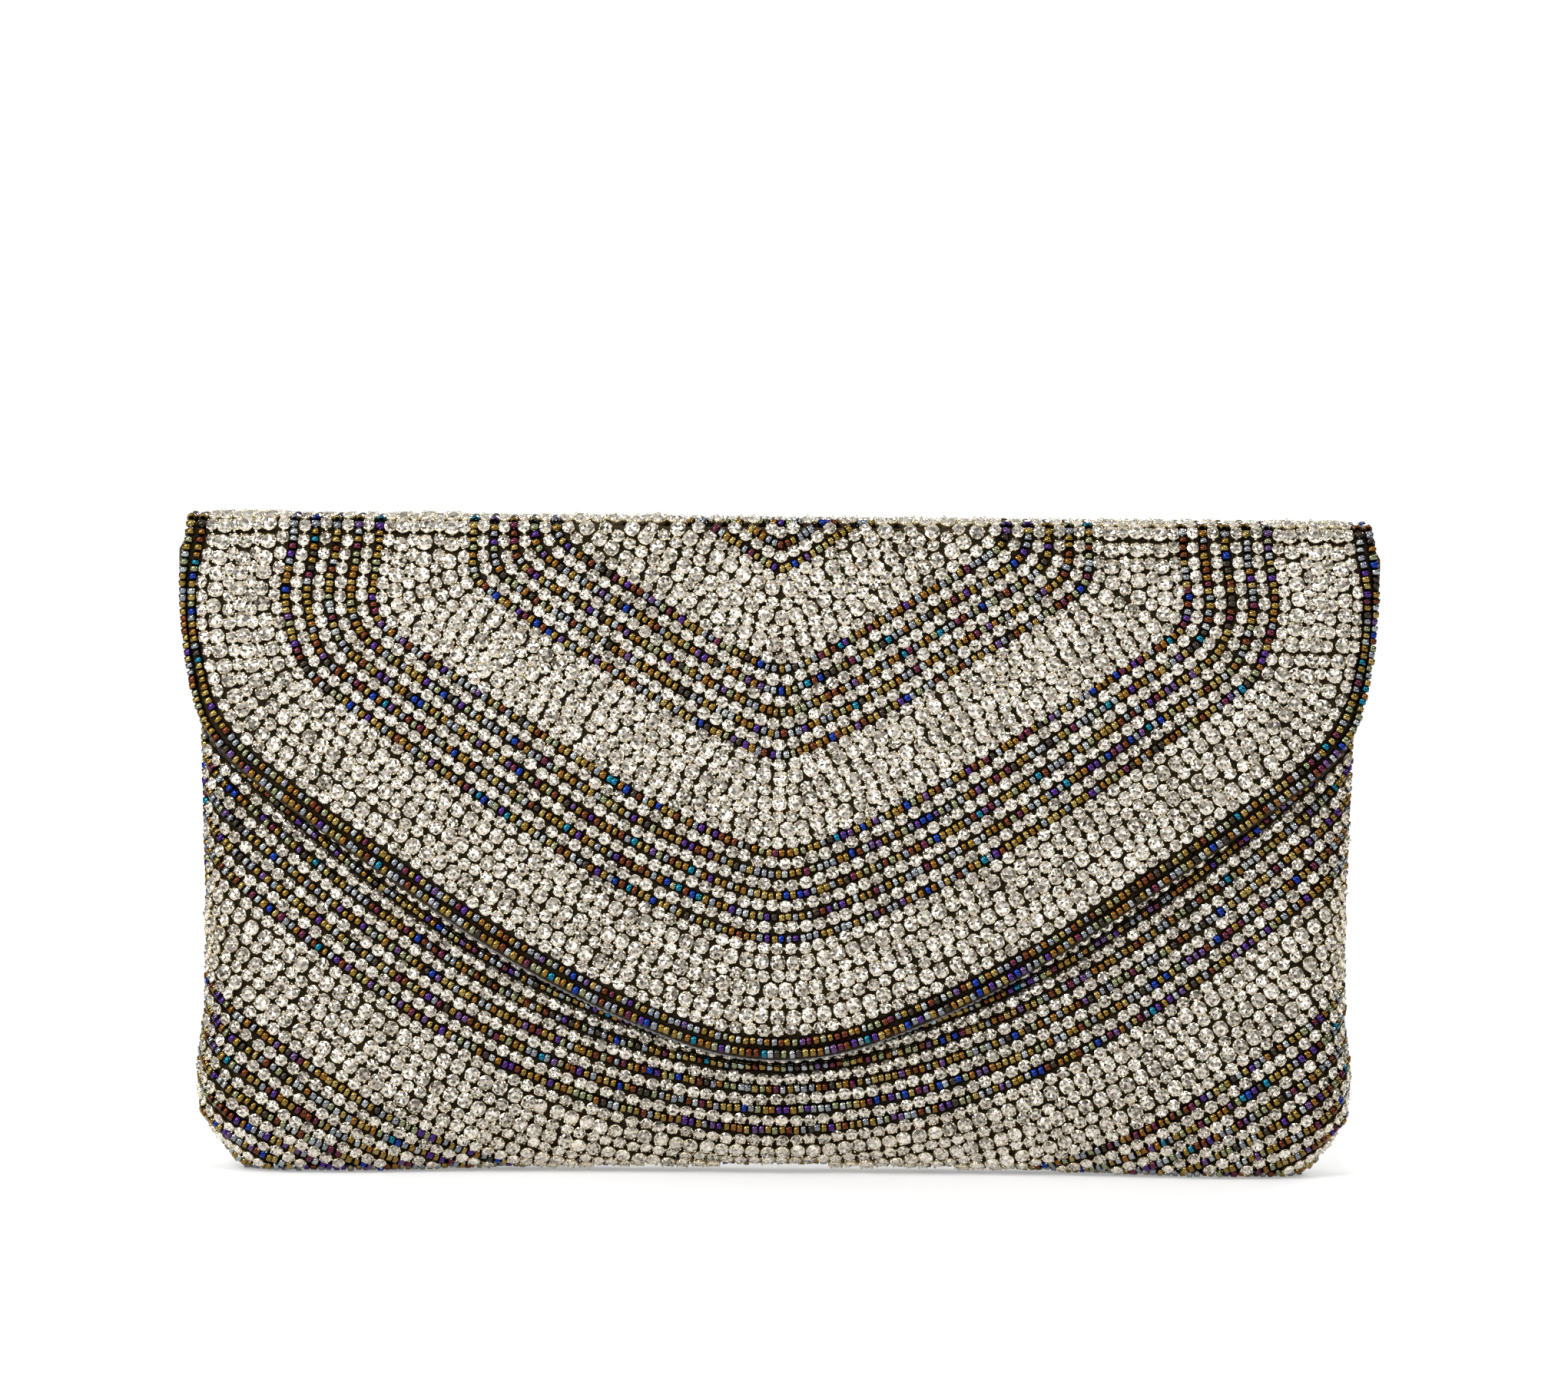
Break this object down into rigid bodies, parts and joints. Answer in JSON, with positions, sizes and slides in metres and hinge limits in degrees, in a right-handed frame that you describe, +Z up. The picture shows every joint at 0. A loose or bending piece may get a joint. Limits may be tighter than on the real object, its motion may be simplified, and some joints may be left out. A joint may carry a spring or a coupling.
{
  "type": "clutch purse",
  "caption": "Envelope clutch purse covered in rows of seed beads and claw-set stones, with a pointed flap that folds over a book-style top and closes on a magnetic snap.",
  "frame": {"origin": "middle of the purse's outer box, on the surface it stands on", "axes": "+Z up, +X along the width, the flap's side faces -Y"},
  "size_m": [0.2716, 0.0356, 0.1504],
  "materials": {
    "cloth": "dark brown backing cloth",
    "board": "grey pulp board",
    "lining": "charcoal satin",
    "beads": "metallic iris seed beads with small stones between",
    "stones": "foiled clear crystal in silver claw cups",
    "cord": "silver-grey twisted cord",
    "nickel": "nickel-plated"
  },
  "bodies": {
    "purse": {"front_panel": "cloth", "front_board": "board", "front_lining": "lining", "front_mouth_binding": "cloth", "back_panel": "cloth", "back_board": "board", "back_lining": "lining", "slip_pocket": "lining", "base_board": "board", "snap_socket": "nickel", "socket_washer": "nickel", "left_seam_beads": "beads", "right_seam_beads": "beads", "base_beads": "beads", "front_upper_beads": "beads", "front_stones": "stones", "front_lower_beads": "beads", "back_inner_beads": "beads", "back_inner_stones": "stones", "back_middle_beads": "beads", "back_middle_stones": "stones", "back_outer_beads": "beads", "back_outer_stones": "stones", "back_rim_beads": "beads", "back_rim_stones": "stones", "back_lower_beads": "beads"},
    "fold_strip": {"fold_cloth": "cloth", "fold_lining": "lining", "fold_stones": "stones", "fold_beads": "beads"},
    "flap": {"flap_panel": "cloth", "flap_board": "board", "flap_lining": "lining", "flap_edge_cord": "cord", "flap_border_beads": "beads", "flap_outer_stones": "stones", "flap_outer_beads": "beads", "flap_middle_stones": "stones", "flap_middle_beads": "beads", "flap_inner_stones": "stones", "flap_inner_beads": "beads", "snap_stud": "nickel", "stud_washer": "nickel"}
  },
  "joints": [
    {"name": "rear_fold", "type": "hinge", "parent": "purse", "child": "fold_strip", "pos_m": [0, 0.01037, 0.1476], "axis": [-1, 0, 0], "range_deg": [0, 90]},
    {"name": "front_fold", "type": "hinge", "parent": "fold_strip", "child": "flap", "pos_m": [0, -0.00493, 0.1476], "axis": [-1, 0, 0], "range_deg": [0, 90]}
  ],
  "couplings": [
    {"joint": "front_fold", "follows": "rear_fold", "ratio": 1}
  ]
}
